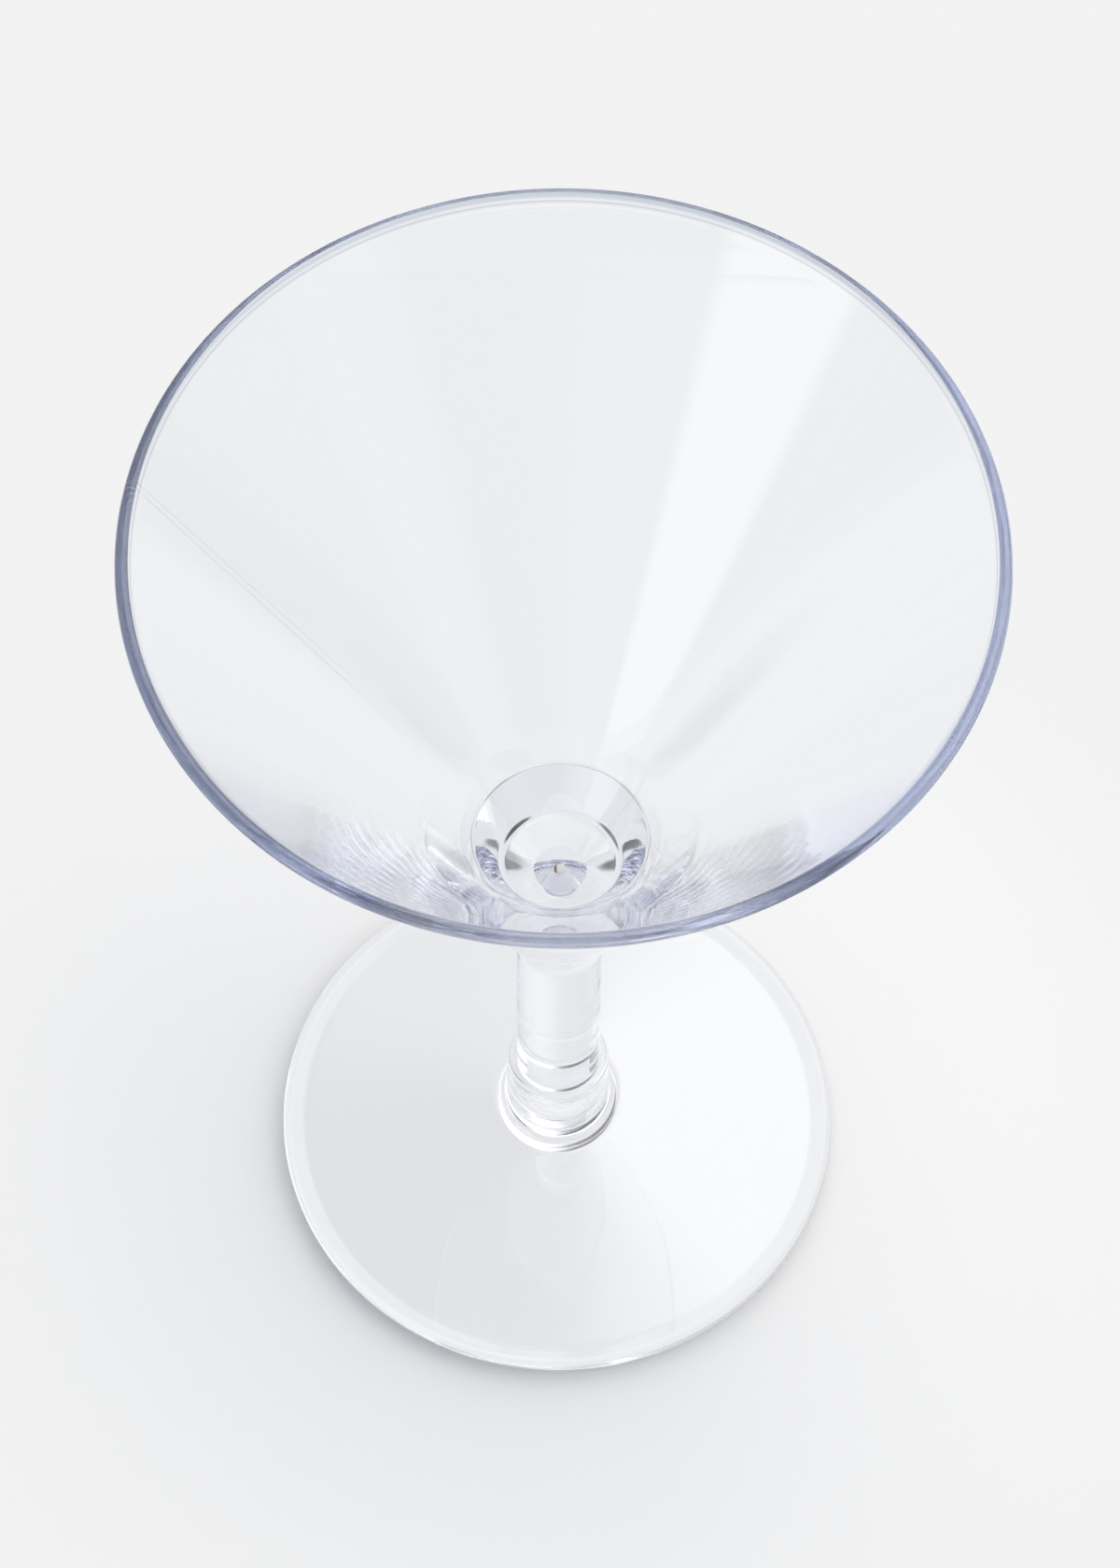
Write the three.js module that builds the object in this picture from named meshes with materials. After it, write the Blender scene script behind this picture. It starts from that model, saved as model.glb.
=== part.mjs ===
// A two-piece clear plastic martini glass: a bowl moulded in one with its solid stem, and a
// separate foot with a socket that the stem's plug pushes into.
// Millimetres, +Z up, origin on the table under the stem's axis.
import * as THREE from 'three';

// Driving dimensions of the bowl
const glassHeight = 151.5;
const rimRadius = 51;
const bowlWall = 1.75;
const wallTaper = 0.6;
const floorHeight = 74.6;
const floorRadius = 3.4;
const wallStartRadius = 13;
const wallStartRise = 12.2;
const gateNubRadius = 0.8;
const gateNubTopRadius = 0.5;
const gateNubHeight = 0.5;

// Driving dimensions of the knop, the thick boss between the bowl and the stem
const knopRise = 6.9;
const knopEdgeRound = 2.5;
const knopTopSlope = 87;
const knopBarrelRadius = 70;
const knopLowSlope = 80;
const knopUnderRound = 10;
const knopUnderSlope = 66;

// Driving dimensions of the stem and its plug
const stemFillet = 16;
const stemTopRadius = 5.65;
const stemFootRadius = 5.85;
const shoulderWidth = 1.25;
const plugLength = 14.7;
const plugChamfer = 0.6;

// Driving dimensions of the foot
const footRadius = 39.15;
const beadRadius = 1.5;
const restRingWidth = 1.4;
const domeSlope = 11;
const undersideSlope = 14.2;
const undersideEase = 5;
const collarHeight = 20.7;
const collarWall = 2.2;
const collarLipRound = 1.2;
const collarDraft = 0.8;
const collarFillet = 3.5;
const socketClearance = 0.3;
const socketLeadIn = 0.3;
const socketFloorThickness = 1.6;
const socketTubeDraft = 0.1;

// How finely the round forms are cut
const turnsPerRound = 64;
const stepsPerArc = 6;

const degrees = THREE.MathUtils.degToRad;

// Half a section, walked point by point. A heading is an angle from straight outward, in radians.
class Outline {
  constructor(r, z) {
    this.points = [new THREE.Vector2(r, z)];
  }

  get end() {
    return this.points[this.points.length - 1];
  }

  lineTo(r, z) {
    this.points.push(new THREE.Vector2(r, z));
    return this;
  }

  // An arc of a given radius that turns from one heading to another
  turn(radius, from, to, steps = stepsPerArc) {
    const start = this.end;
    const side = Math.sign(to - from) * radius;
    for (let step = 1; step <= steps; step += 1) {
      const heading = from + ((to - from) * step) / steps;
      const dr = side * (Math.sin(heading) - Math.sin(from));
      const dz = side * (Math.cos(from) - Math.cos(heading));
      this.lineTo(start.x + dr, start.y + dz);
    }
    return this;
  }

  // An arc to a given point that arrives there at a given heading
  arcTo(r, z, heading, steps = stepsPerArc) {
    const start = this.end;
    const chord = new THREE.Vector2(r, z).sub(start);
    const bend = heading - Math.atan2(chord.y, chord.x);
    for (let step = 1; step < steps; step += 1) {
      const share = step / steps;
      const reach = Math.abs(bend) > 1e-9 ? Math.sin(bend * share) / Math.sin(bend) : share;
      const turned = chord.clone().multiplyScalar(reach).rotateAround(new THREE.Vector2(), bend * (share - 1));
      this.lineTo(start.x + turned.x, start.y + turned.y);
    }
    return this.lineTo(r, z);
  }
}

// Where two straight lines cross, each given by a point on it and its heading
function crossing(a, headingA, b, headingB) {
  const reach =
    ((b.x - a.x) * Math.sin(headingB) - (b.y - a.y) * Math.cos(headingB)) / Math.sin(headingB - headingA);
  return new THREE.Vector2(a.x + reach * Math.cos(headingA), a.y + reach * Math.sin(headingA));
}

// Both outlines run from the inside over the top and down, so they are turned round to face outward
function revolve(name, outline, colour, roughness) {
  const geometry = new THREE.LatheGeometry(outline.points.toReversed(), turnsPerRound);
  const material = new THREE.MeshStandardMaterial({ color: colour, roughness, metalness: 0 });
  const mesh = new THREE.Mesh(geometry, material);
  mesh.name = name;
  mesh.rotation.x = Math.PI / 2;
  return mesh;
}

// The bowl with its stem, drawn from the gate nub on the floor up to the lip and down outside
function bowlWithStem() {
  const lip = bowlWall / 2;
  const lipCentre = new THREE.Vector2(rimRadius - lip, glassHeight - lip);
  const wallStart = new THREE.Vector2(wallStartRadius, floorHeight + wallStartRise);
  const toLip = lipCentre.clone().sub(wallStart);
  const wallHeading = Math.atan2(toLip.y, toLip.x) + Math.asin(lip / toLip.length());
  const outward = new THREE.Vector2(Math.sin(wallHeading), -Math.cos(wallHeading));

  // Inside: nub, flat floor, rounded bottom, straight wall, full-round lip
  const outline = new Outline(0, floorHeight + gateNubHeight);
  outline.lineTo(gateNubTopRadius, floorHeight + gateNubHeight);
  outline.lineTo(gateNubRadius, floorHeight);
  outline.lineTo(floorRadius, floorHeight);
  outline.arcTo(wallStart.x, wallStart.y, wallHeading);
  outline.lineTo(lipCentre.x - lip * outward.x, lipCentre.y - lip * outward.y);
  const down = wallHeading - Math.PI + degrees(wallTaper);
  outline.turn(lip, wallHeading, down);

  // Outside: straight wall, a little thicker towards the knop, which turns under into the stem
  const knopTop = floorHeight + knopRise;
  const wallFoot = crossing(outline.end, down, new THREE.Vector2(0, knopTop), 0);
  const steep = degrees(knopTopSlope) - Math.PI;
  const drawnIn = degrees(knopLowSlope) - Math.PI;
  const under = degrees(knopUnderSlope) - Math.PI;
  const upright = -Math.PI / 2;
  outline.lineTo(wallFoot.x, wallFoot.y);
  outline.turn(knopEdgeRound, down, steep);
  outline.turn(knopBarrelRadius, steep, drawnIn);
  outline.turn(knopUnderRound, drawnIn, under);
  const filletReach = stemFillet * (1 + Math.sin(under));
  const filletStart = crossing(outline.end, under, new THREE.Vector2(stemTopRadius + filletReach, 0), upright);
  outline.lineTo(filletStart.x, filletStart.y);
  outline.turn(stemFillet, under, upright);

  // Stem, shoulder that rests on the collar, and plug
  const plugRadius = stemFootRadius - shoulderWidth;
  const plugEnd = collarHeight - plugLength;
  outline.lineTo(stemFootRadius, collarHeight);
  outline.lineTo(plugRadius, collarHeight);
  outline.lineTo(plugRadius, plugEnd + plugChamfer);
  outline.lineTo(plugRadius - plugChamfer, plugEnd);
  outline.lineTo(0, plugEnd);
  return revolve('bowl_with_stem', outline, 0xe6e8f2, 0.04);
}

// The foot, drawn from the socket's floor up to the collar, out over the dome and back underneath
function foot() {
  const socketRadius = stemFootRadius - shoulderWidth + socketClearance;
  const socketFloor = collarHeight - plugLength - socketClearance;
  const collarRadius = socketRadius + collarWall;
  const slope = degrees(domeSlope);
  const beadCentre = new THREE.Vector2(footRadius - beadRadius, beadRadius);
  const domeEdge = new THREE.Vector2(
    beadCentre.x + beadRadius * Math.sin(slope),
    beadCentre.y + beadRadius * Math.cos(slope),
  );

  // Socket, seat for the stem's shoulder, rounded lip and drafted side of the collar
  const outline = new Outline(0, socketFloor);
  outline.lineTo(socketRadius, socketFloor);
  outline.lineTo(socketRadius, collarHeight - socketLeadIn);
  outline.lineTo(socketRadius + socketLeadIn, collarHeight);
  outline.lineTo(collarRadius - collarLipRound, collarHeight);
  const collarSide = degrees(collarDraft) - Math.PI / 2;
  outline.turn(collarLipRound, 0, collarSide);

  // Fillet into the dome, then the dome and the round bead on its edge
  const corner = crossing(outline.end, collarSide, domeEdge, -slope);
  const tangent = collarFillet * Math.tan((-slope - collarSide) / 2);
  outline.lineTo(corner.x - tangent * Math.cos(collarSide), corner.y - tangent * Math.sin(collarSide));
  outline.turn(collarFillet, collarSide, -slope);
  outline.lineTo(domeEdge.x, domeEdge.y);
  outline.turn(beadRadius, -slope, -Math.PI);

  // Flat ring to stand on, hollow underside and the underside of the socket
  const underside = degrees(undersideSlope);
  outline.lineTo(outline.end.x - restRingWidth, 0);
  outline.turn(undersideEase, -Math.PI, -Math.PI - underside);
  const eased = outline.end;
  outline.lineTo(collarRadius, eased.y + (eased.x - collarRadius) * Math.tan(underside));
  outline.lineTo(collarRadius - socketTubeDraft, socketFloor - socketFloorThickness);
  outline.lineTo(0, socketFloor - socketFloorThickness);
  return revolve('foot', outline, 0xe9ebf3, 0.05);
}

const glass = new THREE.Group();
glass.name = 'martini_glass';
glass.add(foot(), bowlWithStem());

export default glass;
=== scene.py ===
# %% [markdown]
# A clear plastic martini glass, in two mouldings
#
# The bowl and its solid stem are one moulding, and the stem's plug pushes into a separate domed foot.
# Clear plastic has no colour of its own to paint: almost everything that shows is light bent by the
# walls. So this lesson spends its effort on true sections, smooth surfaces and what stands round the
# glass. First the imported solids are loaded. They fix every place and size.

import math

import bmesh
import bpy
from mathutils import Matrix, Vector


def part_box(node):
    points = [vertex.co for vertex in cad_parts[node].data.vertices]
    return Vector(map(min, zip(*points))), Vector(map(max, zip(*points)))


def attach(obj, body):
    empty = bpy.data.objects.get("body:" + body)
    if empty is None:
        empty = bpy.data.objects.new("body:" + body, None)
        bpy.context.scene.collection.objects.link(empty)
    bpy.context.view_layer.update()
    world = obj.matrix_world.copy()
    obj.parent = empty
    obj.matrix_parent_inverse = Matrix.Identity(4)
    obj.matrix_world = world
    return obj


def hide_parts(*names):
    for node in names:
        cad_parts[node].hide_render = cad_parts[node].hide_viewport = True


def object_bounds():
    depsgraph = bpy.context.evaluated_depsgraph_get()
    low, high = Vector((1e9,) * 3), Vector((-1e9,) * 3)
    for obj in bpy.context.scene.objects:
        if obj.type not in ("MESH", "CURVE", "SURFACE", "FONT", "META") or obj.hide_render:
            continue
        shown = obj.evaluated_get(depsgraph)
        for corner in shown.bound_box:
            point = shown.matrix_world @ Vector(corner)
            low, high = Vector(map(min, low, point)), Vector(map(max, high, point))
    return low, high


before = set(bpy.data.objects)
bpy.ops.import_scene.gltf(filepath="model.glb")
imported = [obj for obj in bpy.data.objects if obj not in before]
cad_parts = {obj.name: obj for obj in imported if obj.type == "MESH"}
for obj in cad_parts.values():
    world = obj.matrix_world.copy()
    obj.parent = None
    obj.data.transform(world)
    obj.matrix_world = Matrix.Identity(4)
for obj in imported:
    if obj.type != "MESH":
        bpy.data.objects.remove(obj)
cad_low, cad_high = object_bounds()
bowl_low, bowl_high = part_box("bowl_with_stem")
foot_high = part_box("foot")[1]

# %% [markdown]
# Sizes
#
# The large sizes come from the solids themselves. The small ones, such as the wall, the arcs of the
# knop under the bowl and the bead on the foot, are those of the mouldings, in metres. The solids cut
# each arc into a few facets. Bent light shows every facet, so the same sections are drawn here again
# with many more steps.

# %% Sizes of the two sections
MM = 0.001
rim_radius = bowl_high.x
glass_height = bowl_high.z
plug_end = bowl_low.z
foot_radius = foot_high.x
collar_height = foot_high.z

bowl_wall = 1.75 * MM
floor_height = 74.6 * MM
floor_radius = 3.4 * MM
wall_start_radius = 13.0 * MM
wall_start_rise = 12.2 * MM
knop_rise = 6.9 * MM
knop_edge_round = 2.5 * MM
knop_barrel_radius = 70 * MM
knop_under_round = 10 * MM
stem_fillet = 16 * MM
stem_top_radius = 5.65 * MM
stem_foot_radius = 5.85 * MM
shoulder_width = 1.25 * MM
plug_chamfer = 0.6 * MM
wall_taper = math.radians(0.6)
knop_top_slope, knop_low_slope, knop_under_slope = (math.radians(a) for a in (87, 80, 66))

bead_radius = 1.5 * MM
rest_ring_width = 1.4 * MM
under_ease = 5 * MM
collar_wall = 2.2 * MM
collar_lip_round = 1.2 * MM
collar_fillet = 3.5 * MM
socket_clearance = 0.3 * MM
socket_lead_in = 0.3 * MM
socket_floor_thickness = 1.6 * MM
socket_tube_draft = 0.1 * MM
dome_slope, under_slope, collar_draft = (math.radians(a) for a in (11, 14.2, 0.8))

# Air left between the stem's shoulder and the collar, so that two clear faces never share a place
seam_air = 0.04 * MM
print("rim across:", round(2000 * rim_radius, 1), "mm, foot across:", round(2000 * foot_radius, 1), "mm")

# %% [markdown]
# Drawing a section
#
# A turned piece is half a section spun round its axis. One could draw it as a Bezier curve and use a
# Screw modifier. Here a small pen walks the outline instead, because each arc of a moulding is known
# by its radius and by the headings where it starts and ends. Long straight runs get extra points near
# their ends: without them the smoothing of an arc would leak into the flat wall and bend what shows
# through it.


# %% The pen that walks an outline
class Outline:
    def __init__(self, r, z):
        self.points = [(r, z)]

    def end(self):
        return self.points[-1]

    def corner_to(self, r, z):
        self.points.append((r, z))

    def run_to(self, r, z, spacing=5 * MM, guard=0.15 * MM):
        r0, z0 = self.end()
        length = math.hypot(r - r0, z - z0)
        count = max(1, round(length / spacing))
        stops = [i / count for i in range(1, count)]
        if length > 4 * guard:
            stops = [guard / length, *stops, 1 - guard / length]
        for t in sorted(stops):
            self.corner_to(r0 + (r - r0) * t, z0 + (z - z0) * t)
        self.corner_to(r, z)

    def turn(self, radius, start, stop, steps=14):
        r0, z0 = self.end()
        side = math.copysign(radius, stop - start)
        for i in range(1, steps + 1):
            heading = start + (stop - start) * i / steps
            dr = side * (math.sin(heading) - math.sin(start))
            dz = side * (math.cos(start) - math.cos(heading))
            self.corner_to(r0 + dr, z0 + dz)

    def arc_to(self, r, z, heading, steps=20):
        r0, z0 = self.end()
        chord, aim = math.hypot(r - r0, z - z0), math.atan2(z - z0, r - r0)
        bend = heading - aim
        for i in range(1, steps):
            t = i / steps
            reach = chord * math.sin(bend * t) / math.sin(bend)
            turned = aim + bend * (t - 1)
            self.corner_to(r0 + reach * math.cos(turned), z0 + reach * math.sin(turned))
        self.corner_to(r, z)


def crossing(a, heading_a, b, heading_b):
    across = (b[0] - a[0]) * math.sin(heading_b) - (b[1] - a[1]) * math.cos(heading_b)
    reach = across / math.sin(heading_b - heading_a)
    return a[0] + reach * math.cos(heading_a), a[1] + reach * math.sin(heading_a)


print("pen ready")

# %% [markdown]
# The bowl and stem, as one section
#
# The plastic was filled from a gate on the bowl's floor. From there the inside rises in a wide arc
# into a straight cone and over a full-round lip. Outside, the cone comes down to the knop, a thick boss
# whose sides are almost upright. Those sides mirror the table inside the plastic, which is the bright
# disc with a thin dark ring at the bottom of the bowl. The stem is solid.


# %% Section of the bowl and stem
def bowl_outline():
    lip = bowl_wall / 2
    lip_r, lip_z = rim_radius - lip, glass_height - lip
    start_z = floor_height + wall_start_rise
    dr, dz = lip_r - wall_start_radius, lip_z - start_z
    wall = math.atan2(dz, dr) + math.asin(lip / math.hypot(dr, dz))
    pen = Outline(0, floor_height)
    pen.run_to(floor_radius, floor_height, spacing=1 * MM)
    pen.arc_to(wall_start_radius, start_z, wall)
    pen.run_to(lip_r - lip * math.sin(wall), lip_z + lip * math.cos(wall))
    down, upright = wall - math.pi + wall_taper, -math.pi / 2
    pen.turn(lip, wall, down, steps=24)
    steep, drawn_in, under = (a - math.pi for a in (knop_top_slope, knop_low_slope, knop_under_slope))
    pen.run_to(*crossing(pen.end(), down, (0, floor_height + knop_rise), 0))
    pen.turn(knop_edge_round, down, steep)
    pen.turn(knop_barrel_radius, steep, drawn_in)
    pen.turn(knop_under_round, drawn_in, under)
    fillet_start = stem_top_radius + stem_fillet * (1 + math.sin(under))
    pen.run_to(*crossing(pen.end(), under, (fillet_start, 0), upright))
    pen.turn(stem_fillet, under, upright)
    plug_radius = stem_foot_radius - shoulder_width
    pen.run_to(stem_foot_radius, collar_height + seam_air)
    pen.run_to(plug_radius, collar_height + seam_air)
    pen.run_to(plug_radius, plug_end + plug_chamfer)
    pen.run_to(plug_radius - plug_chamfer, plug_end)
    pen.run_to(0, plug_end)
    return pen.points


print("bowl section:", len(bowl_outline()), "points")

# %% [markdown]
# The foot, as one section
#
# A thin dome with a round bead on its edge, a collar in the middle and, in the collar, the socket that
# takes the stem's plug. Underneath it is hollow and stands on a narrow flat ring, as such feet do.


# %% Section of the foot
def foot_outline():
    socket_radius = stem_foot_radius - shoulder_width + socket_clearance
    socket_floor = plug_end - socket_clearance
    collar_radius = socket_radius + collar_wall
    side = collar_draft - math.pi / 2
    edge_r = foot_radius - bead_radius + bead_radius * math.sin(dome_slope)
    edge_z = bead_radius + bead_radius * math.cos(dome_slope)
    pen = Outline(0, socket_floor)
    pen.run_to(socket_radius, socket_floor)
    pen.run_to(socket_radius, collar_height - socket_lead_in)
    pen.run_to(socket_radius + socket_lead_in, collar_height)
    pen.run_to(collar_radius - collar_lip_round, collar_height)
    pen.turn(collar_lip_round, 0, side)
    corner_r, corner_z = crossing(pen.end(), side, (edge_r, edge_z), -dome_slope)
    tangent = collar_fillet * math.tan((-dome_slope - side) / 2)
    pen.run_to(corner_r - tangent * math.cos(side), corner_z - tangent * math.sin(side))
    pen.turn(collar_fillet, side, -dome_slope)
    pen.run_to(edge_r, edge_z)
    pen.turn(bead_radius, -dome_slope, -math.pi, steps=24)
    pen.run_to(pen.end()[0] - rest_ring_width, 0)
    pen.turn(under_ease, -math.pi, -math.pi - under_slope)
    ease_r, ease_z = pen.end()
    pen.run_to(collar_radius, ease_z + (ease_r - collar_radius) * math.tan(under_slope))
    pen.run_to(collar_radius - socket_tube_draft, socket_floor - socket_floor_thickness)
    pen.run_to(0, socket_floor - socket_floor_thickness)
    return pen.points


print("foot section:", len(foot_outline()), "points")

# %% [markdown]
# Spinning a section
#
# The mesh is made ring by ring. Points on the axis become one vertex each. Edges sharper than a set
# angle stay crisp, such as the shoulder of the plug, and the rest is smooth.

# %% Spin an outline into a mesh
turns = 576
crisp = math.radians(24)


def spun(name, outline):
    mesh = bmesh.new()
    rings = []
    for r, z in outline:
        if r < 1e-9:
            rings.append([mesh.verts.new((0, 0, z))] * turns)
            continue
        angles = (2 * math.pi * k / turns for k in range(turns))
        rings.append([mesh.verts.new((r * math.cos(a), r * math.sin(a), z)) for a in angles])
    for upper, lower in zip(rings, rings[1:]):
        for k in range(turns):
            corners = [upper[k], upper[k - 1], lower[k - 1], lower[k]]
            mesh.faces.new(list(dict.fromkeys(corners)))
    bmesh.ops.recalc_face_normals(mesh, faces=mesh.faces)
    data = bpy.data.meshes.new(name)
    mesh.to_mesh(data)
    mesh.free()
    data.shade_smooth()
    data.set_sharp_from_angle(angle=crisp)
    piece = bpy.data.objects.new(name, data)
    bpy.context.collection.objects.link(piece)
    return piece


bowl = spun("clear_bowl_and_stem", bowl_outline())
foot = spun("clear_foot", foot_outline())
mouldings = (
    (bowl, "bowl", "bowl_with_stem", "clear_bowl"),
    (foot, "foot", "foot", "clear_foot"),
)
for piece, body, node, slot in mouldings:
    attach(piece, body)
    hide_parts(node)
print("faces:", len(bowl.data.polygons), len(foot.data.polygons))

# %% [markdown]
# Helpers for nodes
#
# A material is a tree of small nodes. In the node editor one adds and wires them by hand. Here a few
# short functions do it: a sum, a noise, a soft step, a plain colour, and one colour laid over another
# through a mask.


# %% Helpers for nodes
def link(tree, source, target):
    tree.links.new(source, target)


def math_node(tree, operation, *values):
    node = tree.nodes.new("ShaderNodeMath")
    node.operation = operation
    for socket, value in zip(node.inputs, values):
        if isinstance(value, (int, float)):
            socket.default_value = value
        else:
            link(tree, value, socket)
    return node.outputs[0]


def noise(tree, place, scale, detail):
    node = tree.nodes.new("ShaderNodeTexNoise")
    node.inputs["Scale"].default_value = scale
    node.inputs["Detail"].default_value = detail
    link(tree, place, node.inputs["Vector"])
    return node.outputs["Fac"]


def smooth_step(tree, value, start, stop):
    node = tree.nodes.new("ShaderNodeMapRange")
    node.interpolation_type = "SMOOTHSTEP"
    node.inputs["From Min"].default_value = start
    node.inputs["From Max"].default_value = stop
    link(tree, value, node.inputs["Value"])
    return node.outputs["Result"]


def plain(tree, colour):
    node = tree.nodes.new("ShaderNodeRGB")
    node.outputs[0].default_value = (*colour, 1)
    return node.outputs[0]


def laid_over(tree, below, colour, mask):
    mix = tree.nodes.new("ShaderNodeMix")
    mix.data_type = "RGBA"
    mix.inputs["B"].default_value = (*colour, 1)
    link(tree, below, mix.inputs["A"])
    link(tree, mask, mix.inputs["Factor"])
    return mix.outputs["Result"]


print("helpers:", [f.__name__ for f in (link, math_node, noise, smooth_step, plain, laid_over)])

# %% [markdown]
# Moulding marks
#
# A clear moulding is never quite even. Molten plastic runs out from the gate and leaves faint streaks
# along its flow and a fine weld line where two flows met, and it shrinks into slow ripples as it cools.
# The lip has turning marks, the rest has hairline scratches and flecks of dust, and handling leaves dull
# smudges. They could be painted as an image. Here each one is a few nodes that read the place on the
# piece, so they have no seam and stay sharp at any size.

# %% Marks of moulding and handling
# The weld line: its lean and offset in plan, half its width, and where along x it fades in
weld_lean, weld_offset, weld_half = -0.0526, 5.41 * MM, 0.12 * MM
weld_fade = -18 * MM, -32 * MM
# The turning marks on the lip: their pitch, and the heights between which they fade in
lip_pitch = 0.6 * MM
lip_marks_fade = glass_height - 2.0 * MM, glass_height - 1.4 * MM
flow_scale, hair_scale, ripple_scale, wear_scale = 7.0, 900.0, 55.0, 38.0
dust_scale, dust_size = 110.0, 0.03
# Where the wear noise turns into a smudge, and how dull the weld line is
wear_fade, weld_dull = (0.55, 0.85), 0.03


def around_axis(tree, place):
    flat = tree.nodes.new("ShaderNodeVectorMath")
    flat.operation = "MULTIPLY"
    flat.inputs[1].default_value = (1, 1, 0)
    link(tree, place, flat.inputs[0])
    outward = tree.nodes.new("ShaderNodeVectorMath")
    outward.operation = "NORMALIZE"
    link(tree, flat.outputs["Vector"], outward.inputs[0])
    tall = tree.nodes.new("ShaderNodeVectorMath")
    tall.operation = "MULTIPLY_ADD"
    tall.inputs[1].default_value = (0, 0, 4)
    link(tree, place, tall.inputs[0])
    link(tree, outward.outputs["Vector"], tall.inputs[2])
    return tall.outputs["Vector"]


def weld_line(tree, x, y):
    off = math_node(tree, "SUBTRACT", y, math_node(tree, "MULTIPLY_ADD", x, weld_lean, weld_offset))
    near = smooth_step(tree, math_node(tree, "ABSOLUTE", off), weld_half, 0.0)
    return math_node(tree, "MULTIPLY", near, smooth_step(tree, x, *weld_fade))


def lip_rings(tree, z):
    wave = math_node(tree, "SINE", math_node(tree, "MULTIPLY", z, 2 * math.pi / lip_pitch))
    return math_node(tree, "MULTIPLY", wave, smooth_step(tree, z, *lip_marks_fade))


def dust(tree, place):
    cells = tree.nodes.new("ShaderNodeTexVoronoi")
    cells.inputs["Scale"].default_value = dust_scale
    link(tree, place, cells.inputs["Vector"])
    return math_node(tree, "LESS_THAN", cells.outputs["Distance"], dust_size)


print("marks ready:", [f.__name__ for f in (weld_line, lip_rings, dust)])

# %% [markdown]
# One group for both pieces
#
# The bowl and the foot have the same kinds of marks in different amounts, so the marks are one node
# group. Its inputs are the amounts. It gives a height for the bump and a value for the roughness.


# %% Put the marks into one group
def moulding_marks():
    group = bpy.data.node_groups.new("moulding_marks", "ShaderNodeTree")
    for name in ("Flow", "Ripple", "Scratches", "Smudges", "Weld", "Lip"):
        group.interface.new_socket(name, in_out="INPUT", socket_type="NodeSocketFloat")
    for name in ("Height", "Roughness"):
        group.interface.new_socket(name, in_out="OUTPUT", socket_type="NodeSocketFloat")
    given = group.nodes.new("NodeGroupInput").outputs
    result = group.nodes.new("NodeGroupOutput").inputs
    place = group.nodes.new("ShaderNodeTexCoord").outputs["Object"]
    split = group.nodes.new("ShaderNodeSeparateXYZ")
    link(group, place, split.inputs[0])
    x, y, z = split.outputs
    weld = math_node(group, "MULTIPLY", weld_line(group, x, y), given["Weld"])
    flow = noise(group, around_axis(group, place), flow_scale, 3.0)
    streaks = math_node(group, "MULTIPLY", flow, given["Flow"])
    hairs = math_node(group, "MULTIPLY", noise(group, place, hair_scale, 1.0), given["Scratches"])
    rings = math_node(group, "MULTIPLY", lip_rings(group, z), given["Lip"])
    ripple = math_node(group, "MULTIPLY", noise(group, place, ripple_scale, 0.0), given["Ripple"])
    height = math_node(group, "ADD", streaks, hairs)
    for mark in (ripple, rings, weld):
        height = math_node(group, "ADD", height, mark)
    link(group, height, result["Height"])
    worn = smooth_step(group, noise(group, place, wear_scale, 3.0), *wear_fade)
    dull = math_node(group, "ADD", worn, dust(group, place))
    smudged = math_node(group, "MULTIPLY", dull, given["Smudges"])
    rough_weld = math_node(group, "MULTIPLY", weld, weld_dull)
    link(group, math_node(group, "ADD", smudged, rough_weld), result["Roughness"])
    return group


marks = moulding_marks()
print("group sockets:", [item.name for item in marks.interface.items_tree])

# %% [markdown]
# Clear plastic
#
# Polystyrene bends light more than glass does, with an index of 1.59, and its thick runs look lavender.
# The tint could be painted as a base colour, but then a thin wall would be as blue as the stem. A
# Volume Absorption tints by the length of the path instead, so the lip and the stem deepen by
# themselves and the wall stays clear.

# %% Materials of the two mouldings
plastic_index = 1.59
bump_strength, bump_height = 0.05, 0.2 * MM
lavender, bowl_density, foot_density = (0.70, 0.717, 0.81), 11.0, 7.0
bowl_marks = {"Flow": 0.5, "Ripple": 0.5, "Scratches": 0.1, "Smudges": 0.02, "Weld": 18.0, "Lip": 1.0}
foot_marks = {"Flow": 0.4, "Ripple": 16.0, "Scratches": 0.15, "Smudges": 0.03, "Weld": 0.0, "Lip": 0.0}


def clear_plastic(name, density, amounts):
    material = bpy.data.materials.new(name)
    material.use_nodes = True
    tree = material.node_tree
    surface = tree.nodes["Principled BSDF"]
    surface.inputs["Base Color"].default_value = (1, 1, 1, 1)
    surface.inputs["IOR"].default_value = plastic_index
    surface.inputs["Transmission Weight"].default_value = 1.0
    worn = tree.nodes.new("ShaderNodeGroup")
    worn.node_tree = marks
    for socket, value in amounts.items():
        worn.inputs[socket].default_value = value
    bump = tree.nodes.new("ShaderNodeBump")
    bump.inputs["Strength"].default_value = bump_strength
    bump.inputs["Distance"].default_value = bump_height
    link(tree, worn.outputs["Height"], bump.inputs["Height"])
    link(tree, bump.outputs["Normal"], surface.inputs["Normal"])
    link(tree, worn.outputs["Roughness"], surface.inputs["Roughness"])
    body = tree.nodes.new("ShaderNodeVolumeAbsorption")
    body.inputs["Color"].default_value = (*lavender, 1)
    body.inputs["Density"].default_value = density
    link(tree, body.outputs["Volume"], tree.nodes["Material Output"].inputs["Volume"])
    return material


bowl_plastic = clear_plastic("clear_bowl_plastic", bowl_density, bowl_marks)
foot_plastic = clear_plastic("clear_foot_plastic", foot_density, foot_marks)
bowl.data.materials.append(bowl_plastic)
foot.data.materials.append(foot_plastic)
print("materials:", [m.name for m in bpy.data.materials])
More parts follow.
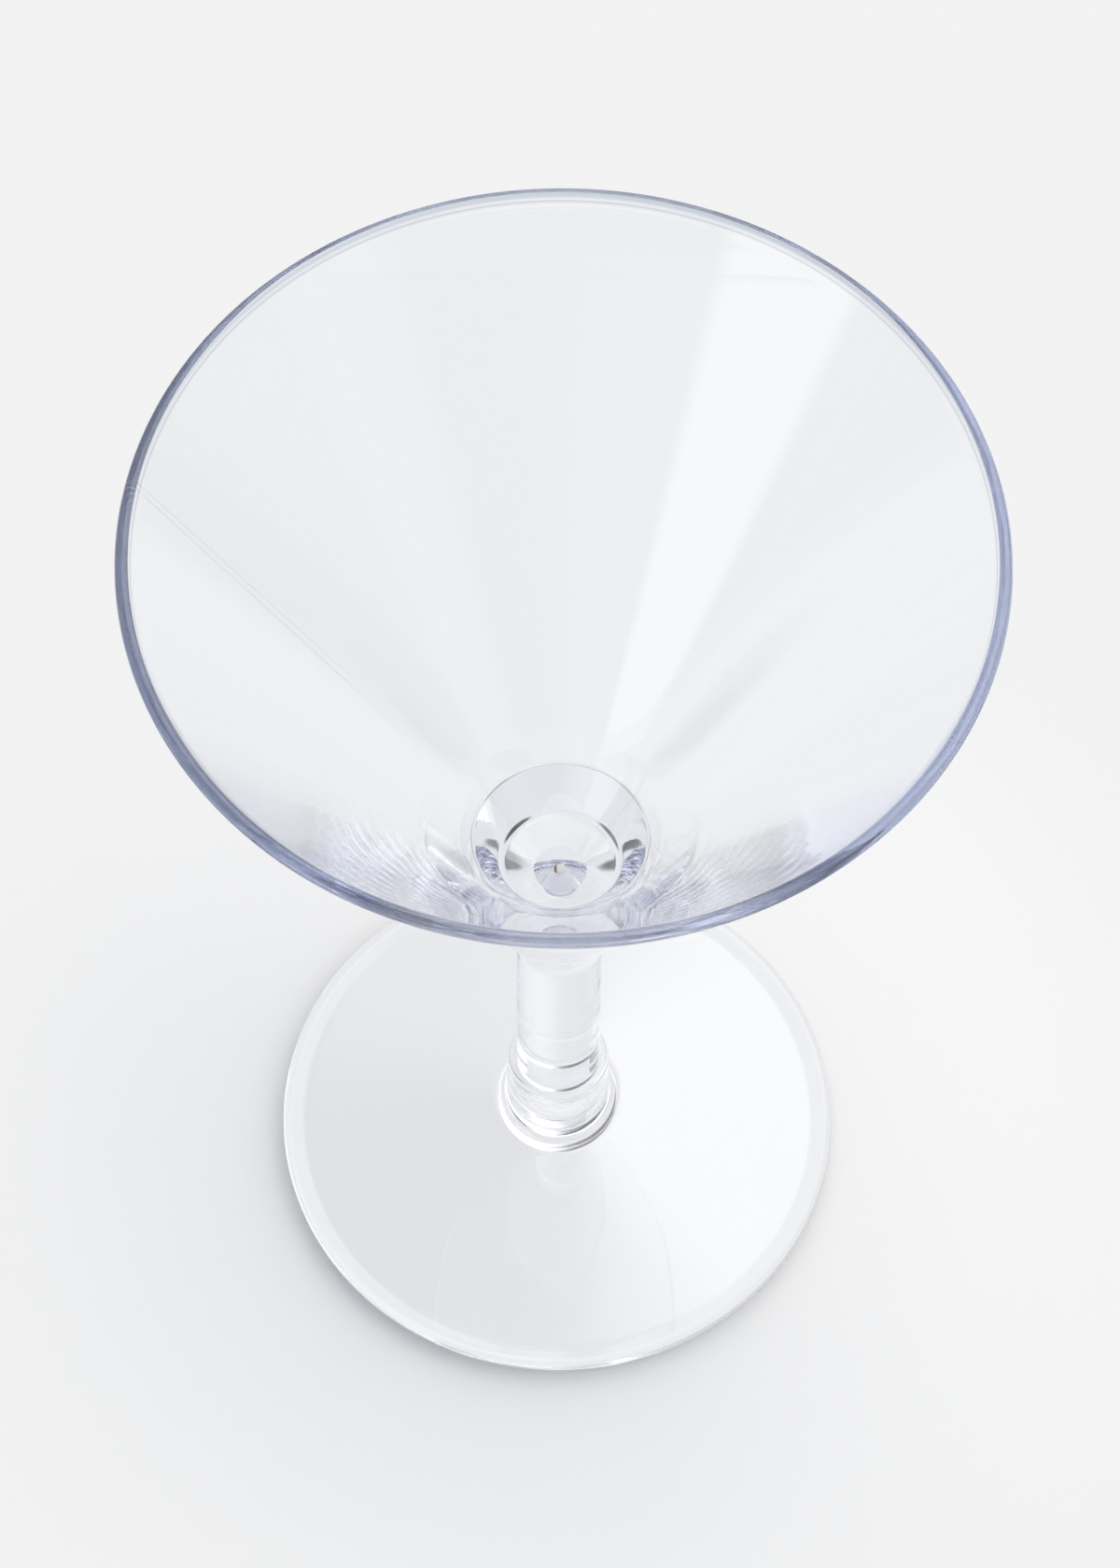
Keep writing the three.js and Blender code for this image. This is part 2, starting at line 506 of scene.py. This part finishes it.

# %% [markdown]
# The lip, with painted shade
#
# In life the lip is a dark blue line, because light runs round inside it and comes out tinted. The tint
# in the volume leaves the lip paler than that, and a denser volume would darken the walls too. So the
# surface of the lip alone gets a painted blue-grey shade, with painted fine lines of light and dark round
# it.
# The nodes measure how far a place is from the ring in the middle of the round lip.

# %% Painted shade on the lip
# The painted shade, the depth of its painted lines of light and dark, and how far from the middle of the
# lip it fades
painted_lip_shade, painted_lip_line_depth = (0.52, 0.58, 0.66), 0.4
lip_fade = 1.08 * MM, 0.9 * MM


def hypotenuse(tree, a, b):
    squares = math_node(tree, "MULTIPLY_ADD", a, a, math_node(tree, "MULTIPLY", b, b))
    return math_node(tree, "SQRT", squares)


def paint_lip_shade(tree):
    split = tree.nodes.new("ShaderNodeSeparateXYZ")
    link(tree, tree.nodes.new("ShaderNodeTexCoord").outputs["Object"], split.inputs[0])
    x, y, z = split.outputs
    across = math_node(tree, "SUBTRACT", hypotenuse(tree, x, y), rim_radius - bowl_wall / 2)
    up = math_node(tree, "SUBTRACT", z, glass_height - bowl_wall / 2)
    lip = smooth_step(tree, hypotenuse(tree, across, up), *lip_fade)
    # Painted lines of light and dark round the lip, at the pitch of the turning marks
    lines = math_node(tree, "MULTIPLY_ADD", lip_rings(tree, z), painted_lip_line_depth, 1 - painted_lip_line_depth)
    mask = math_node(tree, "MULTIPLY", lip, lines)
    # Painted shade: the lip's surface colour is blue-grey instead of clear white
    colour = laid_over(tree, plain(tree, (1, 1, 1)), painted_lip_shade, mask)
    link(tree, colour, tree.nodes["Principled BSDF"].inputs["Base Color"])


paint_lip_shade(bowl_plastic.node_tree)
print("lip nodes:", len(bowl_plastic.node_tree.nodes))

# %% [markdown]
# The gate nub
#
# Where the sprue broke off, a small rough white stub stands on the bowl's floor. It is a separate
# little turned piece here, so that it can have its own chalky finish with an amber burn at its edge.

# %% Gate nub
nub_radius, nub_top, nub_height = 0.8 * MM, 0.3 * MM, 0.45 * MM
chalk, amber = (0.95, 0.94, 0.96), (0.25, 0.13, 0.05)
# Where the burn starts and where it is full, along x
burn_start, burn_full = -0.4 * nub_radius, -0.8 * nub_radius


def nub_outline():
    pen = Outline(0, floor_height + nub_height)
    pen.run_to(nub_top, floor_height + nub_height)
    pen.arc_to(nub_radius, floor_height + seam_air, -math.pi / 2, steps=8)
    pen.run_to(0, floor_height + seam_air)
    return pen.points


def chalky_nub():
    material = bpy.data.materials.new("broken_gate")
    material.use_nodes = True
    tree = material.node_tree
    surface = tree.nodes["Principled BSDF"]
    place = tree.nodes.new("ShaderNodeTexCoord").outputs["Object"]
    split = tree.nodes.new("ShaderNodeSeparateXYZ")
    link(tree, place, split.inputs[0])
    burn = tree.nodes.new("ShaderNodeMapRange")
    burn.inputs["From Min"].default_value = burn_start
    burn.inputs["From Max"].default_value = burn_full
    link(tree, split.outputs["X"], burn.inputs["Value"])
    colour = laid_over(tree, plain(tree, chalk), amber, burn.outputs["Result"])
    link(tree, colour, surface.inputs["Base Color"])
    surface.inputs["Roughness"].default_value = 0.5
    return material


nub = spun("gate_nub", nub_outline())
nub.data.materials.append(chalky_nub())
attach(nub, "bowl")
print("nub height in mm:", round(nub_height * 1000, 2))

# %% [markdown]
# What the plastic mirrors on the table
#
# Clear plastic shows its surroundings, so they matter as much as the piece. On the table lie dark cloths,
# outside the picture. Only rays that the plastic has mirrored see them, and they draw the dark marks in
# the knop. A Light Path node tells how often a ray has been mirrored.

# %% Cloths on the table
pale = (0.887, 0.887, 0.887)
pale_through = (0.870, 0.879, 0.899)
table_z = cad_low.z - 0.2 * MM
# Dark cloths on the table, outside the picture: x, y, half width, soft edge and depth of each
table_cloths = (
    (0.085, -0.080, 0.036, 0.008, 0.96),
    (-0.096, -0.068, 0.034, 0.010, 0.80),
    (-0.33, 0.0, 0.08, 0.03, 0.85),
    (0.32, 0.0, 0.08, 0.02, 0.80),
    (0.50, 0.05, 0.25, 0.06, 0.55),
)


def away_from(tree, point):
    gap = tree.nodes.new("ShaderNodeVectorMath")
    gap.operation = "DISTANCE"
    gap.inputs[1].default_value = point
    link(tree, tree.nodes.new("ShaderNodeTexCoord").outputs["Object"], gap.inputs[0])
    return gap.outputs["Value"]


def mirrored(tree):
    path = tree.nodes.new("ShaderNodeLightPath").outputs
    return math_node(tree, "MINIMUM", path["Glossy Depth"], 1.0)


def table_shade(tree):
    dark = 0.0
    for x, y, half, soft, depth in table_cloths:
        spot = smooth_step(tree, away_from(tree, (x, y, table_z)), half + soft, half - soft)
        dark = math_node(tree, "MAXIMUM", math_node(tree, "MULTIPLY", spot, depth), dark)
    return math_node(tree, "SUBTRACT", 1.0, math_node(tree, "MULTIPLY", dark, mirrored(tree)))


print("cloths:", len(table_cloths), "table at z in mm:", round(table_z * 1000, 2))

# %% [markdown]
# Table
#
# The table is a plain pale sheet. The camera sees it lit near the foot, with the soft shadow, and at its
# own brightness farther out. Rays that come through the plastic see it almost at its own brightness, so
# the piece stays clear.

# %% Table
table_half = 4.0
# How much of its own brightness the table shows through the plastic, and to the camera farther out
through_share, far_share = 0.92, 0.9
far_fade = 0.055, 0.105


def table_material():
    material = bpy.data.materials.new("pale_table")
    material.use_nodes = True
    tree = material.node_tree
    lit = tree.nodes["Principled BSDF"]
    lit.inputs["Base Color"].default_value = (*pale, 1)
    lit.inputs["Roughness"].default_value = 0.9
    lit.inputs["Specular IOR Level"].default_value = 0.1
    glow = tree.nodes.new("ShaderNodeEmission")
    path = tree.nodes.new("ShaderNodeLightPath").outputs
    own_colour = laid_over(tree, plain(tree, pale_through), pale, path["Is Camera Ray"])
    link(tree, own_colour, glow.inputs["Color"])
    link(tree, table_shade(tree), glow.inputs["Strength"])
    seen_through = math_node(tree, "MAXIMUM", path["Is Glossy Ray"], path["Is Transmission Ray"])
    through = math_node(tree, "MULTIPLY", seen_through, through_share)
    beyond_foot = smooth_step(tree, away_from(tree, (0, 0, 0)), *far_fade)
    far = math_node(tree, "MULTIPLY", path["Is Camera Ray"], beyond_foot)
    share = math_node(tree, "MAXIMUM", through, math_node(tree, "MULTIPLY", far, far_share))
    mix = tree.nodes.new("ShaderNodeMixShader")
    link(tree, share, mix.inputs["Fac"])
    link(tree, lit.outputs[0], mix.inputs[1])
    link(tree, glow.outputs[0], mix.inputs[2])
    link(tree, mix.outputs[0], tree.nodes["Material Output"].inputs["Surface"])
    return material


def staged(name, points, faces, material):
    mesh = bpy.data.meshes.new(name)
    mesh.from_pydata(points, [], faces)
    mesh.materials.append(material)
    thing = bpy.data.objects.new(name, mesh)
    bpy.context.collection.objects.link(thing)
    return thing


corners = [(-1, -1), (1, -1), (1, 1), (-1, 1)]
table_points = [(x * table_half, y * table_half, table_z) for x, y in corners]
staged("table", table_points, [(0, 1, 2, 3)], table_material())
print("table across in m:", 2 * table_half)

# %% [markdown]
# Patches of light and dark
#
# In a studio one would hang soft boxes, white cards and black cloths. Here each of them is a soft round
# patch of directions: the nodes compare a direction with the middle of the patch and fade over its edge.
# There are two skies. One lights the table, with a big window at the back right, so the shadow falls to
# the front left. The other is what the plastic mirrors: a pale room, the window, a paler front and a dark
# cloth high at the left. A straight look through the plastic meets a plain pale backdrop, as the camera
# does.


# %% Sky
def unit(azimuth, elevation):
    turn, rise = math.radians(azimuth), math.radians(elevation)
    return (math.cos(turn) * math.cos(rise), math.sin(turn) * math.cos(rise), math.sin(rise))


def patch(tree, direction, toward, half, soft):
    dot = tree.nodes.new("ShaderNodeVectorMath")
    dot.operation = "DOT_PRODUCT"
    dot.inputs[1].default_value = toward
    link(tree, direction, dot.inputs[0])
    edge, core = (math.cos(math.radians(a)) for a in (half + soft, max(half - soft, 0)))
    return smooth_step(tree, dot.outputs["Value"], edge, core)


def patched(tree, direction, ground, patches):
    colour = plain(tree, ground)
    for shade, azimuth, elevation, half, soft in patches:
        mask = patch(tree, direction, unit(azimuth, elevation), half, soft)
        colour = laid_over(tree, colour, shade, mask)
    return colour


# Each patch has a colour, the azimuth and elevation of its middle, half its width and its soft edge
room_light, room_shown = (0.31, 0.36, 0.43), (0.62, 0.63, 0.66)
window_light = ((1.84, 1.80, 1.75), 45, 37, 60, 18)
front_shown = ((1.35, 1.36, 1.38), 270, 42, 45, 15)
window_shown = ((2.0, 2.0, 2.02), 35, 48, 34, 16)
cloth_shown = ((0.02, 0.02, 0.025), 160, 70, 26, 10)


def sky():
    world = bpy.data.worlds.new("studio")
    bpy.context.scene.world = world
    world.use_nodes = True
    tree = world.node_tree
    air = tree.nodes["Background"]
    direction = tree.nodes.new("ShaderNodeTexCoord").outputs["Generated"]
    path = tree.nodes.new("ShaderNodeLightPath").outputs
    lamp = patched(tree, direction, room_light, (window_light,))
    shown = patched(tree, direction, room_shown, (front_shown, window_shown, cloth_shown))
    diffused = math_node(tree, "MINIMUM", path["Diffuse Depth"], 1)
    colour = tree.nodes.new("ShaderNodeMix")
    colour.data_type = "RGBA"
    link(tree, diffused, colour.inputs["Factor"])
    link(tree, shown, colour.inputs["A"])
    link(tree, lamp, colour.inputs["B"])
    straight = math_node(tree, "SUBTRACT", 1.0, math_node(tree, "MAXIMUM", mirrored(tree), diffused))
    result = laid_over(tree, colour.outputs["Result"], pale, straight)
    link(tree, result, air.inputs["Color"])


sky()
print("sky nodes:", len(bpy.context.scene.world.node_tree.nodes))

# %% [markdown]
# Cards round the table
#
# Low all round stands a grey band with two white cards on it. The inside of the cone mirrors the cards
# as long soft stripes that run down to the knop. Area lights could do the same, but they would light the
# table too. The band glows only for rays that the plastic has mirrored.

# %% Band round the table, with two white cards
band_radius, band_height, band_steps = 0.62, 0.26, 96
band_grey = (0.62, 0.62, 0.63)
# The cards are patches of the band, given in the same way as those of the sky
weak_card = ((0.86, 0.87, 0.90), 322, 0, 10, 8)
bright_card = ((1.42, 1.44, 1.40), 219, 0, 15, 3)


def band_material():
    material = bpy.data.materials.new("studio_band")
    material.use_nodes = True
    tree = material.node_tree
    tree.nodes.remove(tree.nodes["Principled BSDF"])
    place = tree.nodes.new("ShaderNodeTexCoord").outputs["Object"]
    level = tree.nodes.new("ShaderNodeVectorMath")
    level.operation = "MULTIPLY"
    level.inputs[1].default_value = (1 / band_radius, 1 / band_radius, 0)
    link(tree, place, level.inputs[0])
    colour = patched(tree, level.outputs["Vector"], band_grey, (weak_card, bright_card))
    straight = math_node(tree, "SUBTRACT", 1.0, mirrored(tree))
    glow = tree.nodes.new("ShaderNodeEmission")
    link(tree, laid_over(tree, colour, pale, straight), glow.inputs["Color"])
    link(tree, glow.outputs[0], tree.nodes["Material Output"].inputs["Surface"])
    return material


def band_points():
    angles = [2 * math.pi * k / band_steps for k in range(band_steps)]
    ring = [(band_radius * math.cos(a), band_radius * math.sin(a)) for a in angles]
    return [(x, y, z) for z in (table_z, band_height) for x, y in ring]


def band_sides():
    following = [(k + 1) % band_steps for k in range(band_steps)]
    return [(k, n, n + band_steps, k + band_steps) for k, n in enumerate(following)]


band = staged("studio_band", band_points(), band_sides(), band_material())
band.visible_camera = band.visible_diffuse = band.visible_shadow = False
print("band across in m:", 2 * band_radius)

# %% [markdown]
# Camera
#
# The camera stands high in front and looks down into the bowl. Its place is given in rim radii, as it
# was worked out from the ellipses of the rim and the foot, and its focal length in pixels of the frame.

# %% Camera
frame_height = 1680
focal_pixels = 4733
place_in_rims = Vector((-0.003, -5.321, 11.253))
look_down, roll = math.radians(60.37), math.radians(0.62)
lens = bpy.data.cameras.new("camera")
lens.sensor_width = 36
lens.lens = focal_pixels * lens.sensor_width / frame_height
camera = bpy.data.objects.new("camera", lens)
bpy.context.collection.objects.link(camera)
tilt = Matrix.Rotation(math.pi / 2 - look_down, 4, "X") @ Matrix.Rotation(roll, 4, "Z")
camera.matrix_world = Matrix.Translation(place_in_rims * rim_radius) @ tilt
bpy.context.scene.camera = camera
print("lens in mm:", round(lens.lens, 1))

# %% [markdown]
# Light paths
#
# A ray may bounce dozens of times inside a clear wall before it comes out at the lip. With Blender's
# usual limits such rays end black, so the limits are raised.

# %% Bounces and view
bounces = 160
cycles = bpy.context.scene.cycles
cycles.max_bounces = cycles.transmission_bounces = cycles.glossy_bounces = bounces
cycles.caustics_refractive = cycles.caustics_reflective = True
bpy.context.scene.view_settings.view_transform = "Standard"
print("bounces:", cycles.max_bounces)
